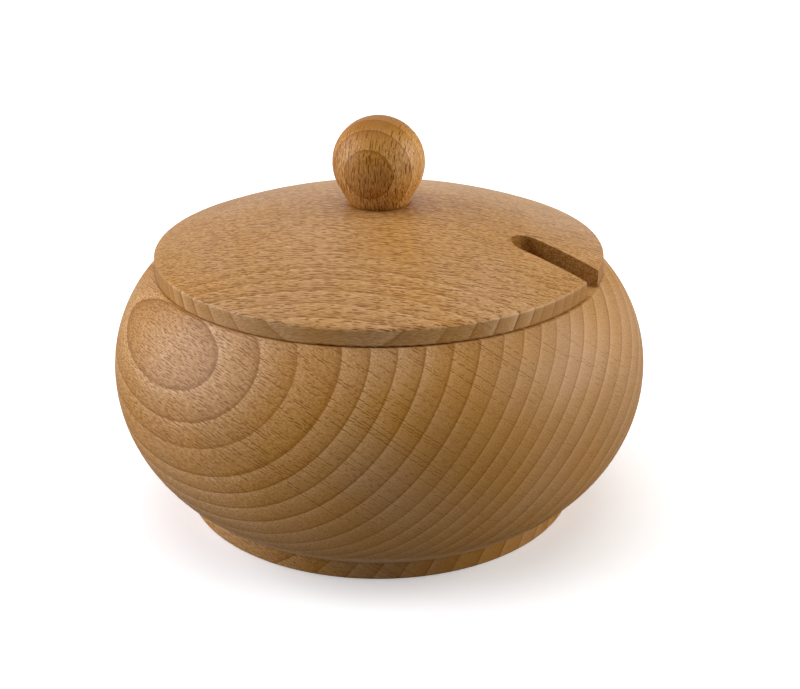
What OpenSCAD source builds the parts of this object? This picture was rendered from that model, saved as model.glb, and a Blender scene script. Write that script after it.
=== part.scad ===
// Turned beech sugar bowl with a lift-off lid, a spoon slot in the lid and a ball knob.
// Units are millimetres. The origin is the centre of the foot's underside, +Z is up,
// and the spoon slot runs out along +X.

/* [Bowl] */
// Diameter at the widest point of the belly
belly_d = 120.5; // [110:0.5:140]
// Height of the widest point above the table
belly_z = 32; // [31:0.5:34]
// Radius of the curve below the widest point
lower_curve_r = 33.7; // [32:0.1:38]
// Radius of the curve above the widest point
upper_curve_r = 31.4; // [29:0.1:36]
// Height of the rim that the lid rests on
rim_z = 55; // [53:0.5:57]
// Width of the flat rim around the mouth
rim_w = 7.2; // [5:0.1:10]
// Thickness of the wall, square to its curve
wall_t = 12; // [9:0.5:14]
// Thickness of the floor above the table
floor_t = 10.5; // [9:0.5:13]

/* [Foot] */
// Height of the foot, up to the crease under the belly
foot_h = 4.1; // [3:0.1:5]
// Width of the ring that stands on the table
foot_ring_w = 8; // [5:0.5:12]
// Depth of the hollow inside that ring
foot_hollow = 1.2; // [0.6:0.1:2]

/* [Lid] */
// How far the lid's edge stands in from the rim's outer edge
lid_inset = 0.4; // [0:0.1:2]
// Thickness of the lid at its straight edge
lid_edge_t = 3.9; // [3:0.1:6]
// Rise of the dome from the edge to the middle
dome_rise = 9.9; // [7:0.1:13]
// Depth of the register that drops into the mouth
register_h = 3; // [2:0.5:5]
// Gap all round between the register and the mouth
register_gap = 0.6; // [0.3:0.1:1.2]
// Width of the register's ring around the hollow underside
register_w = 5; // [4:0.5:8]
// Depth of the hollow underside
dish_depth = 4; // [2:0.5:5]

/* [Spoon slot] */
// Width of the slot
slot_w = 7.9; // [6:0.1:10]
// Length of the slot, from the lid's edge to its round inner end
slot_l = 18.4; // [14:0.1:24]

/* [Knob] */
// Diameter of the ball
knob_d = 20.3; // [18:0.1:21]
// Diameter of the knob's flat base
knob_base_d = 13.3; // [12:0.1:15]
// Height of the ball's centre above the base
knob_centre_h = 9.15; // [9:0.05:10]

/* [Dowel] */
// Diameter of the dowel
dowel_d = 6; // [5:0.5:7]
// Length of the dowel, half of it in the lid and half in the knob
dowel_l = 17; // [14:0.5:18]
// Glue gap around the dowel
glue_gap = 0.05; // [0.02:0.01:0.1]
// Glue space at each end of the dowel
glue_space = 0.5; // [0.3:0.1:1]

/* [Edges] */
// Radius of the sanded edges of the bowl and the lid
edge_r = 0.6; // [0.4:0.1:1]
// Radius of the knob's lower edge
knob_edge_r = 0.4; // [0.2:0.1:0.6]

/* [Hidden] */
$fn = 180;

// How far a cutting shape runs past the face it cuts
past = 1;

bowl_wood = [0.80, 0.62, 0.43];
lid_wood = [0.78, 0.59, 0.39];
knob_wood = [0.68, 0.47, 0.26];
dowel_wood = [0.84, 0.70, 0.52];

belly_r = belly_d / 2;
lower_curve_x = belly_r - lower_curve_r;
upper_curve_x = belly_r - upper_curve_r;

// The foot is as wide as the belly is where its lower curve ends
foot_r = lower_curve_x + leg(lower_curve_r, belly_z - foot_h);

// The rim's outer edge is rounded between the flat rim and the upper curve
rim_r = upper_curve_x + leg(upper_curve_r, rim_z - belly_z);
mouth_r = rim_r - rim_w;
rim_edge_z = rim_z - edge_r;
rim_edge_x = upper_curve_x + leg(upper_curve_r - edge_r, rim_edge_z - belly_z);
rim_edge_angle = atan2(rim_edge_z - belly_z, rim_edge_x - upper_curve_x);

// The dome is part of a sphere that meets the top of the lid's straight edge
lid_r = rim_r - lid_inset;
edge_top_z = rim_z + lid_edge_t;
dome_r = (lid_r * lid_r + dome_rise * dome_rise) / (2 * dome_rise);
dome_z = edge_top_z + dome_rise - dome_r;
lid_edge_x = lid_r - edge_r;
lid_edge_z = dome_z + leg(dome_r - edge_r, lid_edge_x);
lid_edge_angle = atan2(lid_edge_z - dome_z, lid_edge_x);

// The lid's underside has a register ring around a shallow hollow
register_r = mouth_r - register_gap;
register_z = rim_z - register_h;
dish_edge_r = register_r - register_w;
dish_r = (dish_edge_r * dish_edge_r + dish_depth * dish_depth) / (2 * dish_depth);
dish_z = register_z + dish_depth - dish_r;

// The spoon slot has a round inner end
slot_r = slot_w / 2;
slot_end_x = lid_r - slot_l + slot_r;

// A small flat on top of the dome carries the knob
knob_r = knob_d / 2;
knob_base_r = knob_base_d / 2;
seat_margin = 0.4;
seat_z = dome_z + leg(dome_r, knob_base_r + seat_margin);

// Below the ball the knob runs straight, along a tangent, to its rounded base edge
knob_z = seat_z + knob_centre_h;
base_distance = norm([knob_base_r, knob_centre_h]);
tangent_angle = acos(knob_r / base_distance) - atan2(knob_centre_h, knob_base_r);
tangent_x = knob_r * cos(tangent_angle);
tangent_z = knob_z + knob_r * sin(tangent_angle);
knob_edge_x = knob_base_r - knob_edge_r / tan((90 - tangent_angle) / 2);

dowel_hole_r = dowel_d / 2 + glue_gap;
dowel_hole_l = dowel_l / 2 + glue_space;

// The third side of a right triangle, from its longest side and one other
function leg(longest, other) = sqrt(longest * longest - other * other);

// What a rounded edge takes off a corner: the outside of a circle between two directions
module corner_waste(x, z, r, from, to) {
  middle = (from + to) / 2;
  reach = 2 * r;
  tip = reach / cos((to - from) / 2);
  translate([x, z])
    difference() {
      polygon([
        [0, 0],
        [reach * cos(from), reach * sin(from)],
        [tip * cos(middle), tip * sin(middle)],
        [reach * cos(to), reach * sin(to)]
      ]);
      circle(r);
    }
}

// One stretch of the bowl's side, from the axis out to a curve, between two heights
module side_stretch(curve_x, curve_r, low_z, high_z) {
  intersection() {
    union() {
      translate([curve_x, belly_z])
        circle(curve_r);
      translate([0, belly_z - curve_r])
        square([curve_x, 2 * curve_r]);
    }
    translate([0, low_z])
      square([belly_r, high_z - low_z]);
  }
}

module bowl_outline() {
  difference() {
    union() {
      square([foot_r, foot_h]);
      side_stretch(lower_curve_x, lower_curve_r, foot_h, belly_z);
      side_stretch(upper_curve_x, upper_curve_r, belly_z, rim_z);
    }
    corner_waste(foot_r - edge_r, edge_r, edge_r, -90, 0);
    corner_waste(rim_edge_x, rim_edge_z, edge_r, rim_edge_angle, 90);
  }
}

module bowl_hollow() {
  side_stretch(lower_curve_x, lower_curve_r - wall_t, floor_t, belly_z);
  side_stretch(upper_curve_x, upper_curve_r - wall_t, belly_z, rim_z);
  translate([0, belly_z])
    square([mouth_r, rim_z - belly_z + past]);
  corner_waste(mouth_r + edge_r, rim_edge_z, edge_r, 90, 180);
}

module bowl() {
  color(bowl_wood)
    rotate_extrude()
      difference() {
        bowl_outline();
        bowl_hollow();
        translate([0, -past])
          square([foot_r - foot_ring_w, foot_hollow + past]);
      }
}

module lid_outline() {
  difference() {
    union() {
      translate([0, register_z])
        square([register_r, register_h]);
      intersection() {
        translate([0, dome_z])
          circle(dome_r);
        translate([0, rim_z])
          square([lid_r, seat_z - rim_z]);
      }
    }
    translate([0, dish_z])
      circle(dish_r);
    corner_waste(lid_edge_x, lid_edge_z, edge_r, 0, lid_edge_angle);
    corner_waste(lid_edge_x, rim_z + edge_r, edge_r, -90, 0);
    corner_waste(register_r - edge_r, register_z + edge_r, edge_r, -90, 0);
  }
}

module spoon_slot() {
  translate([0, 0, register_z - past])
    linear_extrude(height = seat_z - register_z + 2 * past) {
      translate([slot_end_x, 0])
        circle(slot_r);
      translate([slot_end_x, -slot_r])
        square([lid_r - slot_end_x + past, slot_w]);
    }
}

module lid() {
  color(lid_wood)
    difference() {
      rotate_extrude()
        lid_outline();
      spoon_slot();
      translate([0, 0, seat_z - dowel_hole_l])
        cylinder(h = dowel_hole_l + past, r = dowel_hole_r);
    }
}

module knob_outline() {
  difference() {
    union() {
      translate([0, knob_z])
        circle(knob_r);
      polygon([[0, seat_z], [knob_base_r, seat_z], [tangent_x, tangent_z], [0, tangent_z]]);
    }
    translate([-knob_r, seat_z - knob_r])
      square([knob_d, knob_r]);
    translate([-knob_d, seat_z])
      square([knob_d, 2 * knob_d]);
    corner_waste(knob_edge_x, seat_z + knob_edge_r, knob_edge_r, -90, tangent_angle);
  }
}

module knob() {
  color(knob_wood)
    difference() {
      rotate_extrude()
        knob_outline();
      translate([0, 0, seat_z - past])
        cylinder(h = dowel_hole_l + past, r = dowel_hole_r);
    }
}

module dowel() {
  color(dowel_wood)
    translate([0, 0, seat_z - dowel_l / 2])
      cylinder(h = dowel_l, d = dowel_d);
}

bowl();
lid();
knob();
dowel();
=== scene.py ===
import math
from dataclasses import dataclass

import bpy
from mathutils import Euler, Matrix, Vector

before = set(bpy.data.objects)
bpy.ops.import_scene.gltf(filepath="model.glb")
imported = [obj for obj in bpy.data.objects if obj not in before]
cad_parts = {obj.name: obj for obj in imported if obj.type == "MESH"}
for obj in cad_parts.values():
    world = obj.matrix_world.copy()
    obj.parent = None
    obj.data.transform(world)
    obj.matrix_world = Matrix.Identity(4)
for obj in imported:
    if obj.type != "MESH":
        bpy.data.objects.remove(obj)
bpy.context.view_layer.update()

MM_PER_M = 1000.0

# Camera: it stands to the right of the front and looks down on the lid. The lens is in millimetres.
VIEW_AZIMUTH = math.radians(25.84)
CAMERA_REACH = 0.2808
CAMERA_HEIGHT = 0.1555
CAMERA_TILT = math.radians(23.35)
CAMERA_PAN = math.radians(0.95)
LENS = 59.46
SENSOR_WIDTH = 36.0

# Floor: white to look at, and grey to the light that it throws back on the wood.
FLOOR_RADIUS = 6.0
FLOOR_SIDES = 96
FLOOR_GLOW = 0.3
FLOOR_GREY = (0.34, 0.34, 0.34, 1.0)
FLOOR_ROUGHNESS = 0.9
FLOOR_SPECULAR = 0.1
WHITE = (1.0, 1.0, 1.0, 1.0)
BLACK = (0.0, 0.0, 0.0, 1.0)

# Broad far lights: name, azimuth to the right of the camera's side, elevation, strength and colour.
LIGHT_SPREAD = math.radians(60)
PLAIN_LIGHT = (1.0, 1.0, 1.0)
LIGHTS = (
    ("overhead", 180, 85, 0.47, PLAIN_LIGHT),
    ("left", -92, 19, 1.18, (0.98, 1.0, 1.08)),
    ("right", 90, 10, 1.13, PLAIN_LIGHT),
    ("back", 180, 12, 0.24, (0.95, 1.0, 1.08)),
)

# Noise goes from 0 to 1 about this mean.
NOISE_MEAN = 0.5

# Growth rings: one ring from its edge outwards is pale early wood, then darker, then a thin dark line.
RING_PROFILE = ((0.0, 0.95), (0.03, 1.0), (0.25, 0.80), (0.55, 0.64), (0.86, 0.46),
                (0.95, 0.0), (0.985, 0.0), (1.0, 0.95))
RING_MEAN = 0.64
# The rings wander by a share of their pitch.
WANDER_SHARE = 0.08
WANDER_SCALE = 0.05
WANDER_DETAIL = 3.0
# The step inside the clear ring takes up this share of the pitch.
STEP_SHARE = 0.8
# Some years show more strongly than others.
YEAR_SCALE = 0.6
YEAR_RANGE = (0.25, 0.75)
YEAR_STRENGTH = (0.7, 1.3)

# Rays end at this depth through the layers, in millimetres, and the next ones lie a step aside.
RAY_REACH = 1.6
RAY_STEPS = (0.618, 0.37)
# Half the length of the shortest ray and of the longest, as a share of its room.
RAY_LENGTHS = (0.22, 0.75)
# Darkness of the faintest ray and of the darkest, and the share of rays that are faintest.
RAY_DEPTHS = (0.3, 1.7)
FAINT_RAYS = 0.35
# A ray is darkest within this share of its size.
RAY_CORE = 0.5

# Fibres: their size along the fibre, across it and through the layers, in millimetres.
FIBRE_SIZE = (1.3, 0.22, 0.30)
FIBRE_DETAIL = 1.0
FIBRE_RANGE = (0.32, 0.68)
FIBRE_LEVELS = (-0.5, 0.5)
# What is left of their contrast on end grain.
FIBRE_ENDS = 0.5

# End grain: how squarely a face cuts the fibres where it begins, and where it is full.
RING_END_GRAIN = (0.5, 0.8)
FIBRE_END_GRAIN = (0.4, 0.8)
SHADE_END_GRAIN = (0.6, 1.0)

# Soft clouds of brightness and of warmth, and the azimuth of the pale side in degrees.
CLOUD_SCALE = 0.06
CLOUD_DETAIL = 3.0
CLOUD_TONE = 0.25
WARMTH_SCALE = 0.04
WARMTH_RANGE = (0.3, 0.7)
WARMTH_SATURATION = (0.95, 1.05)
PALE_SIDE = 26.0

# Rubbed edges, and painted light and shade (painted bounce light above the foot, painted shade in
# creases): the share of their reach that is full, and the patches that they come in.
MARK_CORE = 0.2
PATCH_SCALE = 0.9
PATCH_RANGE = (0.3, 0.6)
PATCH_STRENGTH = (0.5, 1.0)

# Slot: how far from its walls the painted shade begins and is full, in millimetres, and the speckles of
# texture in that painted shade.
SLOT_SKIN = (0.1, 0.02)
SPECKLE_SCALE = 2.6
SPECKLE_DETAIL = 1.0
SPECKLE_RANGE = (0.38, 0.62)
SPECKLE_TONES = (-1.25, 0.2)
# How strong the speckles are along the fibres and where the slot cuts across them.
SPECKLE_STRENGTH = (0.3, 1.0)

# Brightness is added up as natural logarithms, and darker wood is redder by these shares.
LIGHTEST = 0.5
DARKEST = -1.1
TONE_SHARES = (0.75, 1.12, 2.3)
TONE_STEPS = 8

# Oiled finish: the roughness of the darkest fibres and of the palest, and a fine relief in metres.
ROUGHNESS = (0.54, 0.42)
SPECULAR = 0.28
FIBRE_RELIEF = 0.4
RELIEF_STRENGTH = 0.5
RELIEF_DEPTH = 0.00003


def linear(red, green, blue):
    """A screen colour, 0 to 255 in each channel, as the renderer's linear colour."""
    def channel(value):
        share = value / 255
        if share <= 0.04045:
            return share / 12.92
        return ((share + 0.055) / 1.055) ** 2.4
    return (channel(red), channel(green), channel(blue), 1.0)


def direction(azimuth, elevation):
    """The unit vector at an azimuth from +X and an elevation, both in degrees."""
    turn = math.radians(azimuth)
    rise = math.radians(elevation)
    return Vector((math.cos(rise) * math.cos(turn), math.cos(rise) * math.sin(turn), math.sin(rise)))


class Nodes:
    """A node tree of a material or a world, built with short calls."""

    def __init__(self, tree):
        self.tree = tree

    def feed(self, socket, value):
        """Links a socket's value, or sets a constant on the socket itself."""
        if isinstance(value, bpy.types.NodeSocket):
            self.tree.links.new(value, socket)
        else:
            socket.default_value = value

    def add(self, kind, inputs, **settings):
        """A new node with its settings made and its inputs fed."""
        node = self.tree.nodes.new(kind)
        for key, value in settings.items():
            setattr(node, key, value)
        for key, value in inputs.items():
            self.feed(node.inputs[key], value)
        return node

    def maths(self, operation, *values):
        """A number made from numbers."""
        node = self.add("ShaderNodeMath", dict(enumerate(values)), operation=operation)
        return node.outputs["Value"]

    def total(self, *values):
        """The sum of several numbers."""
        result = values[0]
        for value in values[1:]:
            result = self.maths("ADD", result, value)
        return result

    def vector(self, operation, *values):
        """A vector made from vectors."""
        node = self.add("ShaderNodeVectorMath", dict(enumerate(values)), operation=operation)
        return node.outputs["Vector"]

    def measure(self, operation, *values):
        """A number made from vectors."""
        node = self.add("ShaderNodeVectorMath", dict(enumerate(values)), operation=operation)
        return node.outputs["Value"]

    def combine(self, x, y, z=0.0):
        """The vector with these parts."""
        return self.add("ShaderNodeCombineXYZ", {"X": x, "Y": y, "Z": z}).outputs["Vector"]

    def parts(self, vector):
        """The X, Y and Z of a vector."""
        return self.add("ShaderNodeSeparateXYZ", {"Vector": vector}).outputs

    def noise(self, place, scale=1.0, detail=2.0):
        """Noise from 0 to 1."""
        inputs = {"Vector": place, "Scale": scale, "Detail": detail}
        return self.add("ShaderNodeTexNoise", inputs).outputs["Fac"]

    def swing(self, place, scale, detail):
        """Noise about zero."""
        return self.maths("SUBTRACT", self.noise(place, scale, detail), NOISE_MEAN)

    def ramp(self, value, start, end, low=0.0, high=1.0, shape="SMOOTHSTEP"):
        """Goes from low to high as value goes from start to end, and stays there beyond."""
        inputs = {"Value": value, "From Min": start, "From Max": end, "To Min": low, "To Max": high}
        return self.add("ShaderNodeMapRange", inputs, interpolation_type=shape).outputs["Result"]

    def stops(self, value, stops):
        """A colour ramp through (place, colour) stops."""
        node = self.add("ShaderNodeValToRGB", {"Fac": value})
        elements = node.color_ramp.elements
        while len(elements) < len(stops):
            elements.new(1.0)
        for element, (place, colour) in zip(elements, stops):
            element.position = place
            element.color = colour
        return node.outputs["Color"]

    def blend(self, share, first, second):
        """Goes from the first colour to the second as share goes from 0 to 1."""
        node = self.add("ShaderNodeMix", {"Factor": share}, data_type="RGBA")
        colours = [socket for socket in node.inputs if socket.type == "RGBA"]
        for socket, colour in zip(colours, (first, second)):
            self.feed(socket, colour)
        return next(socket for socket in node.outputs if socket.type == "RGBA")


def new_material(name):
    """A material, its nodes and its shader."""
    material = bpy.data.materials.new(name)
    material.use_nodes = True
    return material, Nodes(material.node_tree), material.node_tree.nodes["Principled BSDF"]


@dataclass(kw_only=True)
class Cut:
    """How one piece lies in its log. Lengths are in millimetres, in the part's frame."""
    heart: tuple                # a point on the first growth layer
    growth: tuple               # azimuth and elevation of the way through the layers, in degrees
    fibre: float                # turn of the fibre in the layer, from level, in degrees
    bow: tuple = ()             # bend per metre: along the fibre, in twist, across it, with depth
    bow_growth: float = 0.0     # growth of the bend along the fibre, per square metre
    first_ring: float           # depth of a clear ring's edge from the heart point
    ring_pitch: float           # of the rings beyond it
    good_years: tuple = ()      # a run of wide rings: how far it shifts the next, its length, its middle
    inner_rings: tuple          # inside the clear ring: rings per millimetre, growth of that, first step
    ring_tone: tuple            # contrast of the rings near the heart point and far from it
    tone_depth: tuple           # depths between which that contrast changes
    end_ring_tone: float = 1.0  # how much stronger that contrast is on end grain
    end_shade: float            # lightening of end grain, below zero where it is darker
    colour: tuple               # of the wood on average
    fade: float                 # lightening towards the pale side, per metre
    ray_lean: float = 0.0       # lean of the rays about the fibre, from square to the layers, in degrees
    ray_room: tuple             # room that one ray has along the fibre and across it
    ray_width: float            # half the width of a ray, as a share of its room
    ray_tone: float             # darkening by the rays
    ray_faces: tuple            # how squarely a face looks across the rays: lost, and shown fully
    ray_ends: tuple             # how squarely a face cuts the fibres: rays lost, and shown fully
    fibre_tone: float           # contrast of the fibres
    wear_and_painted_light: tuple                # rubbed edges, painted bounce light and painted shade in creases, as (radius, height, reach, lightening)
    slot: tuple = ()            # the slot's round end, whose walls get painted shade: its centre's distance from the axis, its radius

    def axes(self):
        """Unit vectors along the fibre, along the layers across the fibre, and through the layers."""
        through = direction(*self.growth)
        level = Vector((0, 0, 1)).cross(through).normalized()
        rising = through.cross(level)
        turn = math.radians(self.fibre)
        along = level * math.cos(turn) + rising * math.sin(turn)
        return along, through.cross(along), through


CUTS = {
    "bowl": Cut(
        heart=(-23.1, -48.8, 50.8), growth=(64.3, -33.7), fibre=3.4,
        bow=(-4.58, 0.31, -2.30, -3.0), bow_growth=-55.2,
        first_ring=8.05, ring_pitch=2.62, good_years=(0.66, 26.8, 11.3),
        inner_rings=(0.2257, 0.0271, 0.0), ring_tone=(0.66, 0.54), tone_depth=(19, 30),
        end_shade=-0.10, colour=linear(178, 129, 70), fade=0.9,
        ray_room=(1.8, 0.54), ray_width=0.19, ray_tone=1.45,
        ray_faces=(0.75, 0.45), ray_ends=(1.25, 0.05), fibre_tone=0.44,
        # The first mark is painted bounce light on the belly just above the foot; the other two are rubbed
        # rim edges.
        wear_and_painted_light=((48.6, 6.6, 3.6, 0.66), (50.2, 55.0, 1.0, 0.05), (43.0, 55.0, 1.0, 0.05)),
    ),
    "lid": Cut(
        heart=(13.1, -27.0, 60.0), growth=(-75.5, 18.6), fibre=0.0,
        bow=(-1.14, 0.0, 0.0, -1.75),
        first_ring=1.4, ring_pitch=3.0,
        inner_rings=(0.333, 0.0, 0.35), ring_tone=(0.14, 0.45), tone_depth=(-3, 6),
        end_ring_tone=2.8, end_shade=-0.30, colour=linear(180, 132, 74), fade=1.0,
        ray_lean=-36.6, ray_room=(2.3, 0.58), ray_width=0.27, ray_tone=1.15,
        ray_faces=(0.72, 0.62), ray_ends=(0.65, 0.45), fibre_tone=0.36,
        wear_and_painted_light=((49.8, 58.5, 0.8, 0.06), (49.8, 55.0, 0.8, 0.05),
               # The last mark is painted shade: a dark contact line in the crease at the knob's base.
               (42.4, 52.0, 1.0, 0.05), (6.65, 68.6, 1.2, -0.25)),
        slot=(35.38, 3.95),
    ),
    "knob": Cut(
        heart=(1.9, -9.95, 77.2), growth=(100.7, 3.2), fibre=90.0,
        first_ring=1.6, ring_pitch=3.4,
        inner_rings=(0.333, 0.0, 0.0), ring_tone=(0.60, 0.55), tone_depth=(3, 9),
        end_shade=-0.45, colour=linear(183, 129, 62), fade=20.0,
        ray_room=(2.0, 0.76), ray_width=0.19, ray_tone=1.85,
        ray_faces=(0.95, 0.7), ray_ends=(0.98, 0.65), fibre_tone=0.55,
        # Painted shade: a dark contact line in the crease at the knob's base.
        wear_and_painted_light=((6.65, 68.6, 1.2, -0.25),),
    ),
    "dowel": Cut(
        heart=(0.0, 0.0, 68.6), growth=(0.0, 0.0), fibre=90.0,
        first_ring=0.4, ring_pitch=1.8,
        inner_rings=(0.56, 0.0, 0.0), ring_tone=(0.3, 0.3), tone_depth=(3, 9),
        end_ring_tone=1.5, end_shade=-0.30, colour=linear(177, 129, 73), fade=0.0,
        ray_room=(1.9, 0.85), ray_width=0.16, ray_tone=1.0,
        ray_faces=(0.95, 0.7), ray_ends=(0.98, 0.65), fibre_tone=0.35,
        wear_and_painted_light=((3.0, 60.1, 0.8, 0.08), (3.0, 77.1, 0.8, 0.08)),
    ),
}


def in_mm(nodes):
    """The place on the part, in millimetres."""
    place = nodes.add("ShaderNodeTexCoord", {}).outputs["Object"]
    return nodes.vector("MULTIPLY", place, (MM_PER_M, MM_PER_M, MM_PER_M))


def log_place(nodes, cut):
    """The place in the log in millimetres: along the fibre, across it in the layer, through the layers."""
    from_heart = nodes.vector("SUBTRACT", in_mm(nodes), cut.heart)
    return [nodes.measure("DOT_PRODUCT", from_heart, axis) for axis in cut.axes()]


def facing(nodes, axis):
    """How squarely the surface faces along an axis of the log, from 0 to 1."""
    normal = nodes.add("ShaderNodeTexCoord", {}).outputs["Normal"]
    return nodes.maths("ABSOLUTE", nodes.measure("DOT_PRODUCT", normal, axis))


def cells(nodes, place, size):
    """The place counted in cells of a size."""
    return nodes.combine(*[nodes.maths("DIVIDE", part, side) for part, side in zip(place, size)])


def layer_depth(nodes, cut, place):
    """Depth from the first growth layer, with the layers' bend and a little wander."""
    along, across, through = place
    bends = ((along, along), (along, across), (across, across), (through, through))
    depth = through
    for bend, bow in zip(bends, cut.bow):
        depth = nodes.maths("MULTIPLY_ADD", nodes.maths("MULTIPLY", *bend), bow / MM_PER_M, depth)
    if cut.bow_growth:
        growth = nodes.maths("MULTIPLY", nodes.maths("MULTIPLY", along, along), along)
        depth = nodes.maths("MULTIPLY_ADD", growth, cut.bow_growth / MM_PER_M ** 2, depth)
    wander = nodes.swing(nodes.combine(*place), WANDER_SCALE, WANDER_DETAIL)
    return nodes.maths("MULTIPLY_ADD", wander, WANDER_SHARE * cut.ring_pitch, depth)


def with_good_years(nodes, cut, beyond):
    """The depth beyond the clear ring, as if a run of wide rings were no wider than the others."""
    shift, length, middle = cut.good_years
    turn = 2 * math.pi / length
    swing = nodes.maths("SINE", nodes.maths("MULTIPLY", nodes.maths("SUBTRACT", beyond, middle), turn))
    start = -shift * math.sin(turn * middle)
    return nodes.total(nodes.maths("MULTIPLY_ADD", swing, -shift, beyond), start)


def ring_count(nodes, cut, depth):
    """Growth rings from the clear one to a depth."""
    outside = nodes.maths("SUBTRACT", depth, cut.first_ring)
    beyond = nodes.maths("MAXIMUM", outside, 0.0)
    within = nodes.maths("SUBTRACT", beyond, outside)
    if cut.good_years:
        beyond = with_good_years(nodes, cut, beyond)
    density, growth, step = cut.inner_rings
    inner = nodes.maths("MULTIPLY", within, nodes.maths("MULTIPLY_ADD", within, growth, density))
    if step:
        first_step = nodes.ramp(within, 0.0, STEP_SHARE * cut.ring_pitch, 0.0, step)
        inner = nodes.maths("ADD", inner, first_step)
    return nodes.maths("SUBTRACT", nodes.maths("DIVIDE", beyond, cut.ring_pitch), inner)


def ring_level(nodes, cut, depth):
    """Lightening and darkening by the growth rings."""
    turns = ring_count(nodes, cut, depth)
    greys = [(place, (level, level, level, 1.0)) for place, level in RING_PROFILE]
    profile = nodes.stops(nodes.maths("FRACT", turns), greys)
    years = nodes.add("ShaderNodeTexNoise", {"W": turns, "Scale": YEAR_SCALE}, noise_dimensions="1D")
    vigour = nodes.ramp(years.outputs["Fac"], *YEAR_RANGE, *YEAR_STRENGTH)
    fibre_axis = cut.axes()[0]
    end_grain = nodes.ramp(facing(nodes, fibre_axis), *RING_END_GRAIN, 1.0, cut.end_ring_tone)
    tone = nodes.maths("MULTIPLY", nodes.ramp(depth, *cut.tone_depth, *cut.ring_tone), end_grain)
    tone = nodes.maths("MULTIPLY", tone, vigour)
    return nodes.maths("MULTIPLY", nodes.maths("SUBTRACT", profile, RING_MEAN), tone)


def ray_dashes(nodes, cut, spot):
    """One ray in each cell, some longer and some darker than others."""
    spread = nodes.add("ShaderNodeTexVoronoi", {"Vector": spot, "Scale": 1.0}, voronoi_dimensions="2D")
    chance = nodes.add("ShaderNodeSeparateColor", {"Color": spread.outputs["Color"]}).outputs
    offset = nodes.parts(nodes.vector("SUBTRACT", spot, spread.outputs["Position"]))
    length = nodes.ramp(chance["Red"], 0.0, 1.0, *RAY_LENGTHS)
    reach = nodes.measure("LENGTH", nodes.combine(
        nodes.maths("DIVIDE", offset["X"], length),
        nodes.maths("DIVIDE", offset["Y"], cut.ray_width)))
    darkness = nodes.ramp(chance["Green"], FAINT_RAYS, 1.0, *RAY_DEPTHS)
    return nodes.maths("MULTIPLY", nodes.ramp(reach, 1.0, RAY_CORE), darkness)


def rays_shown(nodes, cut):
    """How much a face shows of its rays, from 0 to 1."""
    along, across, through = cut.axes()
    lean = math.radians(cut.ray_lean)
    aside = across * math.cos(lean) + through * math.sin(lean)
    return nodes.maths("MULTIPLY", nodes.ramp(facing(nodes, along), *cut.ray_ends),
                       nodes.ramp(facing(nodes, aside), *cut.ray_faces))


def rays(nodes, cut, place):
    """Thin ribbons through the layers: short dashes along the fibre, and ticks on end grain."""
    along, across, through = place
    lean = math.radians(cut.ray_lean)
    aside = nodes.total(nodes.maths("MULTIPLY", across, math.cos(lean)),
                        nodes.maths("MULTIPLY", through, math.sin(lean)))
    deep = nodes.total(nodes.maths("MULTIPLY", through, math.cos(lean)),
                       nodes.maths("MULTIPLY", across, -math.sin(lean)))
    layer = nodes.maths("FLOOR", nodes.maths("DIVIDE", deep, RAY_REACH))
    shift = nodes.combine(*[nodes.maths("MULTIPLY", layer, step) for step in RAY_STEPS])
    spot = nodes.vector("ADD", cells(nodes, (along, aside), cut.ray_room), shift)
    return nodes.maths("MULTIPLY", ray_dashes(nodes, cut, spot), rays_shown(nodes, cut))


def fibres(nodes, place):
    """Short fine fibres, dark and pale."""
    streaks = nodes.noise(cells(nodes, place, FIBRE_SIZE), detail=FIBRE_DETAIL)
    return nodes.ramp(streaks, *FIBRE_RANGE, *FIBRE_LEVELS)


def rubbed_and_painted_light_level(nodes, cut):
    """Pale rubbed edges, painted bounce light above the foot and painted shade in creases, around the
    axis, in patches.
    """
    place = nodes.parts(in_mm(nodes))
    section = nodes.combine(nodes.measure("LENGTH", nodes.combine(place["X"], place["Y"])), place["Z"])
    levels = []
    for radius, height, reach, lightening in cut.wear_and_painted_light:
        distance = nodes.measure("DISTANCE", section, (radius, height, 0.0))
        levels.append(nodes.ramp(distance, reach, MARK_CORE * reach, 0.0, lightening))
    patches = nodes.ramp(nodes.noise(in_mm(nodes), PATCH_SCALE), *PATCH_RANGE, *PATCH_STRENGTH)
    return nodes.maths("MULTIPLY", nodes.total(*levels), patches)


def slot_speckle_and_painted_shade(nodes, cut, end_grain):
    """Painted shade on the slot's walls, with speckles of end-grain texture, strongest where its round end
    cuts across the fibres.
    """
    centre, radius = cut.slot
    begins, full = SLOT_SKIN
    place = nodes.parts(in_mm(nodes))
    behind = nodes.maths("MINIMUM", nodes.maths("SUBTRACT", place["X"], centre), 0.0)
    reach = nodes.measure("LENGTH", nodes.combine(behind, place["Y"]))
    # Painted shade in the slot's recess, full at its walls.
    walls = nodes.ramp(reach, radius + begins, radius + full)
    grit = nodes.noise(in_mm(nodes), SPECKLE_SCALE, SPECKLE_DETAIL)
    speckles = nodes.ramp(grit, *SPECKLE_RANGE, *SPECKLE_TONES)
    strength = nodes.ramp(end_grain, 0.0, 1.0, *SPECKLE_STRENGTH)
    return nodes.maths("MULTIPLY", walls, nodes.maths("MULTIPLY", speckles, strength))


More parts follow.
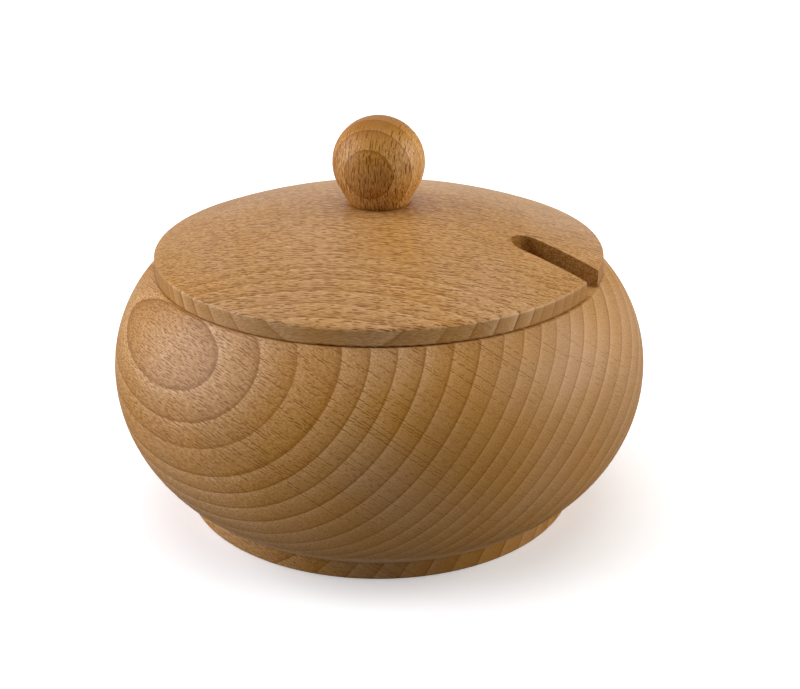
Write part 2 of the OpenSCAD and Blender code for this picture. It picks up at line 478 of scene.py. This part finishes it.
def wood_level(nodes, cut, place, dashes, fibre):
    """All that lightens and darkens the wood, added up."""
    cuts_fibres = facing(nodes, cut.axes()[0])
    end_grain = nodes.ramp(cuts_fibres, *SHADE_END_GRAIN)
    end_fibre_tone = FIBRE_ENDS * cut.fibre_tone
    fibre_tone = nodes.ramp(cuts_fibres, *FIBRE_END_GRAIN, cut.fibre_tone, end_fibre_tone)
    cloud = nodes.swing(nodes.combine(*place), CLOUD_SCALE, CLOUD_DETAIL)
    paling = direction(PALE_SIDE, 0.0) * (cut.fade / MM_PER_M)
    levels = [
        ring_level(nodes, cut, layer_depth(nodes, cut, place)),
        nodes.maths("MULTIPLY", dashes, -cut.ray_tone),
        nodes.maths("MULTIPLY", fibre, fibre_tone),
        nodes.maths("MULTIPLY", cloud, CLOUD_TONE),
        nodes.maths("MULTIPLY", end_grain, cut.end_shade),
        nodes.measure("DOT_PRODUCT", in_mm(nodes), paling),
        rubbed_and_painted_light_level(nodes, cut),
    ]
    if cut.slot:
        levels.append(slot_speckle_and_painted_shade(nodes, cut, end_grain))
    return nodes.total(*levels)


def toned(nodes, colour, level):
    """The wood's colour at a level of brightness."""
    share = nodes.ramp(level, LIGHTEST, DARKEST, shape="LINEAR")
    stops = []
    for step in range(TONE_STEPS + 1):
        at = LIGHTEST + (DARKEST - LIGHTEST) * step / TONE_STEPS
        shade = [part * math.exp(at * tone) for part, tone in zip(colour, TONE_SHARES)]
        stops.append((step / TONE_STEPS, (*shade, 1.0)))
    return nodes.stops(share, stops)


def relief(nodes, dashes, fibre):
    """Rays a little below the surface, and fibres a little above and below it."""
    height = nodes.maths("MULTIPLY_ADD", dashes, -1.0, nodes.maths("MULTIPLY", fibre, FIBRE_RELIEF))
    inputs = {"Height": height, "Strength": RELIEF_STRENGTH, "Distance": RELIEF_DEPTH}
    return nodes.add("ShaderNodeBump", inputs).outputs["Normal"]


def beech(name, cut):
    """Oiled beech, cut from its log as the piece's own grain says."""
    material, nodes, shader = new_material(name)
    place = log_place(nodes, cut)
    dashes = rays(nodes, cut, place)
    fibre = fibres(nodes, place)
    colour = toned(nodes, cut.colour, wood_level(nodes, cut, place, dashes, fibre))
    warmth = nodes.ramp(nodes.noise(in_mm(nodes), WARMTH_SCALE), *WARMTH_RANGE, *WARMTH_SATURATION)
    tint = nodes.add("ShaderNodeHueSaturation", {"Saturation": warmth, "Color": colour})
    nodes.feed(shader.inputs["Base Color"], tint.outputs["Color"])
    nodes.feed(shader.inputs["Roughness"], nodes.ramp(fibre, *FIBRE_LEVELS, *ROUGHNESS))
    nodes.feed(shader.inputs["Specular IOR Level"], SPECULAR)
    nodes.feed(shader.inputs["Normal"], relief(nodes, dashes, fibre))
    return material


def finish_wood():
    """Gives each solid the wood of its own cut."""
    for name, cut in CUTS.items():
        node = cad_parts[name]
        node.data.materials.clear()
        node.data.materials.append(beech(name + "_beech", cut))


def directly_seen(nodes, shown, hidden):
    """One colour where a surface is looked at, and another where it only lights the rest."""
    looked_at = nodes.add("ShaderNodeLightPath", {}).outputs["Is Camera Ray"]
    return nodes.blend(looked_at, hidden, shown)


def floor_white():
    """The floor's plain white."""
    material, nodes, shader = new_material("floor_white")
    nodes.feed(shader.inputs["Base Color"], directly_seen(nodes, WHITE, FLOOR_GREY))
    nodes.feed(shader.inputs["Emission Color"], directly_seen(nodes, WHITE, BLACK))
    nodes.feed(shader.inputs["Emission Strength"], FLOOR_GLOW)
    nodes.feed(shader.inputs["Roughness"], FLOOR_ROUGHNESS)
    nodes.feed(shader.inputs["Specular IOR Level"], FLOOR_SPECULAR)
    return material


def floor():
    """A wide round floor that the bowl stands on."""
    corners = []
    for side in range(FLOOR_SIDES):
        turn = 2 * math.pi * side / FLOOR_SIDES
        corners.append((FLOOR_RADIUS * math.cos(turn), FLOOR_RADIUS * math.sin(turn), 0.0))
    mesh = bpy.data.meshes.new("floor")
    mesh.from_pydata(corners, [], [range(FLOOR_SIDES)])
    mesh.materials.append(floor_white())
    thing = bpy.data.objects.new("floor", mesh)
    bpy.context.scene.collection.objects.link(thing)


def soft_light(name, azimuth, elevation, strength, colour):
    """A broad far light. Azimuth is from the camera's side, to the right, in degrees."""
    lamp = bpy.data.lights.new(name, "SUN")
    lamp.color = colour
    lamp.energy = strength * math.pi
    lamp.angle = LIGHT_SPREAD
    thing = bpy.data.objects.new(name, lamp)
    turn = VIEW_AZIMUTH + math.radians(azimuth)
    rise = math.radians(elevation)
    level = math.cos(rise)
    towards = Vector((math.sin(turn) * level, -math.cos(turn) * level, math.sin(rise)))
    thing.rotation_euler = towards.to_track_quat("Z", "Y").to_euler()
    bpy.context.scene.collection.objects.link(thing)


def studio():
    """The floor, the lights and a white surround that throws no light."""
    floor()
    for light in LIGHTS:
        soft_light(*light)
    world = bpy.data.worlds.new("studio")
    world.use_nodes = True
    nodes = Nodes(world.node_tree)
    surround = world.node_tree.nodes["Background"]
    nodes.feed(surround.inputs["Color"], directly_seen(nodes, WHITE, BLACK))
    bpy.context.scene.world = world
    bpy.context.scene.view_settings.view_transform = "Standard"


def camera():
    """The camera at the photograph's viewing angle."""
    data = bpy.data.cameras.new("camera")
    data.lens = LENS
    data.sensor_width = SENSOR_WIDTH
    thing = bpy.data.objects.new("camera", data)
    thing.location = (
        CAMERA_REACH * math.sin(VIEW_AZIMUTH),
        -CAMERA_REACH * math.cos(VIEW_AZIMUTH),
        CAMERA_HEIGHT,
    )
    thing.rotation_euler = Euler((math.pi / 2 - CAMERA_TILT, 0.0, VIEW_AZIMUTH - CAMERA_PAN))
    bpy.context.scene.collection.objects.link(thing)
    bpy.context.scene.camera = thing


camera()
studio()
finish_wood()
